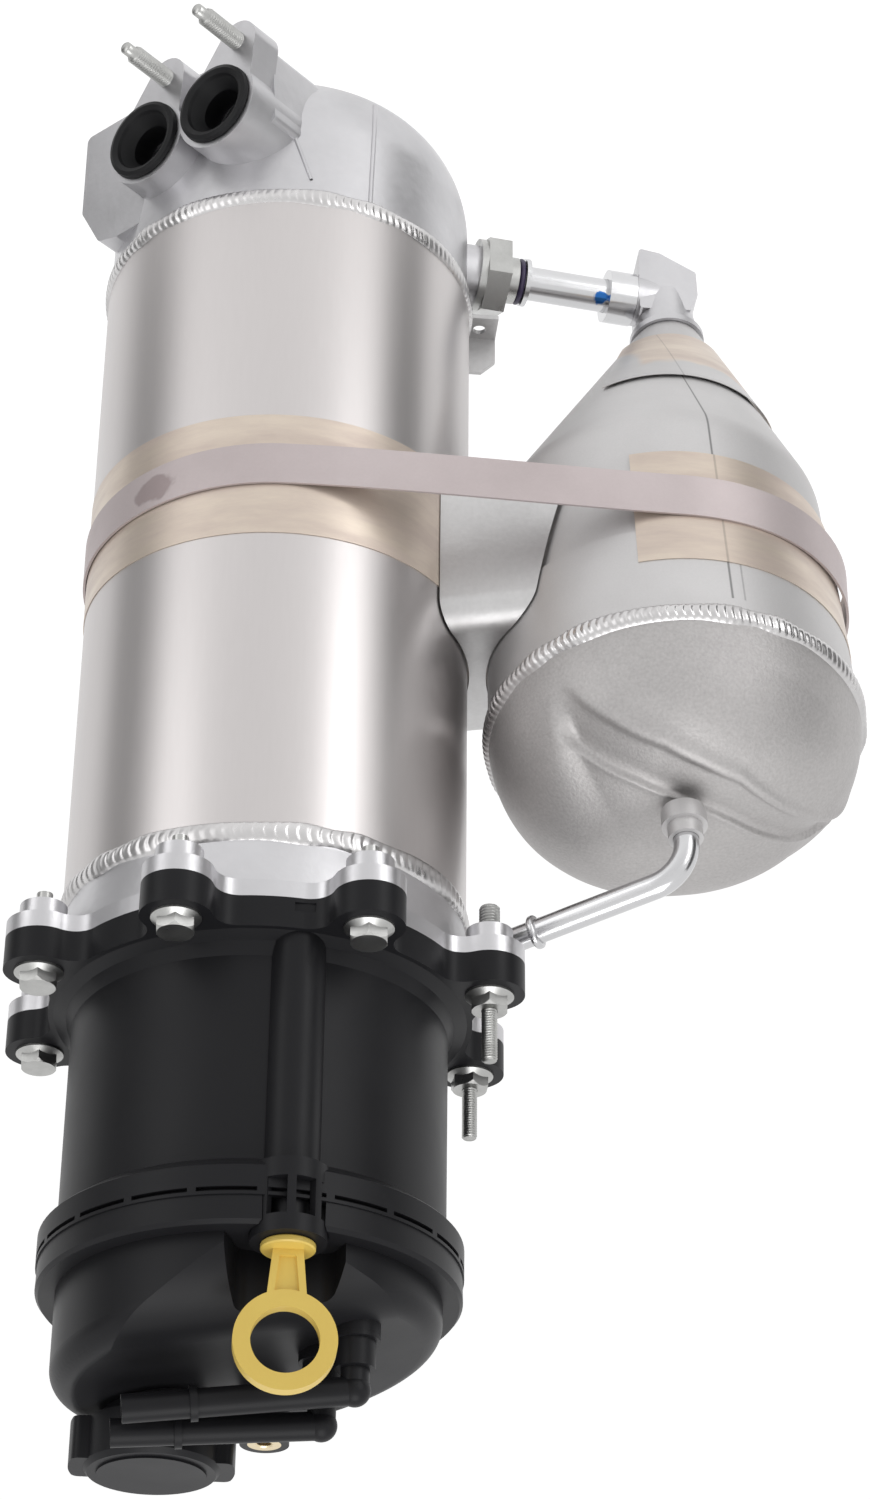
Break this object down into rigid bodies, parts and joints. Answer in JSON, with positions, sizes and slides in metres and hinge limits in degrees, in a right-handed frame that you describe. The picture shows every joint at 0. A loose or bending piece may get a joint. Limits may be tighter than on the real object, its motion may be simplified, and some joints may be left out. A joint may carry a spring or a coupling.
{
  "type": "engine oil tank",
  "caption": "Tall aluminium dry-sump oil tank with a strapped coned side tank, black moulded head, filler cap and yellow dipstick.",
  "frame": {"origin": "midway between the two stud bolts of the flange, on the tops of their hexes", "axes": "+Z along the tall tank's axis to the filler cap, +Y to the dipstick side, +X to the strapped side tank"},
  "size_m": [0.3246, 0.2099, 0.5911],
  "materials": {
    "tank_aluminium": "satin",
    "cast_aluminium": "satin",
    "weld_bead": "satin",
    "spun_aluminium": "matte",
    "formed_sheet": "satin",
    "strap_metal": "matte",
    "zinc_steel": "satin",
    "plain_steel": "satin",
    "bright_tube": "gloss",
    "black_plastic": "satin",
    "handle_yellow": "satin",
    "black_rubber": "matte",
    "purple_rubber": "matte",
    "insert_brass": "satin",
    "tape_tan": "satin",
    "inner_aluminium": "satin"
  },
  "bodies": {
    "tank": {"tank_tube": "tank_aluminium", "base_casting": "cast_aluminium", "flange_ring": "cast_aluminium", "elbow_block": "cast_aluminium", "neck_ring": "cast_aluminium", "base_weld": "weld_bead", "flange_weld": "weld_bead", "expansion_weld": "weld_bead", "expansion_cone": "spun_aluminium", "expansion_skirt": "spun_aluminium", "expansion_bowl": "spun_aluminium", "bowl_bung": "spun_aluminium", "saddle_bracket": "formed_sheet", "side_bracket": "formed_sheet", "strap_band": "strap_metal", "strap_buckle": "strap_metal", "flange_bolts": "zinc_steel", "stud_bolts": "zinc_steel", "port_stud_left": "zinc_steel", "port_stud_right": "zinc_steel", "strap_bolt": "zinc_steel", "side_union": "zinc_steel", "compression_limiters": "plain_steel", "transfer_pipe": "bright_tube", "drain_tube": "bright_tube", "pipe_collar": "bright_tube", "head_housing": "black_plastic", "head_cover": "black_plastic", "upper_breather": "black_plastic", "lower_breather": "black_plastic", "port_seal_left": "black_rubber", "port_seal_right": "black_rubber", "flange_seal": "black_rubber", "union_oring": "purple_rubber", "threaded_insert": "insert_brass", "tank_tape": "tape_tan", "expansion_tape": "tape_tan", "neck_tape": "tape_tan", "lower_baffle": "inner_aluminium", "upper_baffle": "inner_aluminium", "riser_pipe": "inner_aluminium", "oil_separator": "inner_aluminium", "foot_strainer": "inner_aluminium"},
    "cap": {"filler_cap": "black_plastic", "cap_seal": "black_rubber"},
    "dipstick": {"dipstick_handle": "handle_yellow", "dipstick_seals": "black_rubber", "dipstick_blade": "plain_steel"}
  },
  "joints": [
    {"name": "cap_turn", "type": "hinge", "parent": "tank", "child": "cap", "pos_m": [-0.11258, -0.025, 0.15145], "axis": [0, 0, 1], "range_deg": [0, 90]},
    {"name": "dipstick_pull", "type": "slide", "parent": "tank", "child": "dipstick", "axis": [0, 0, 1], "range_m": [0, 0.32]}
  ]
}
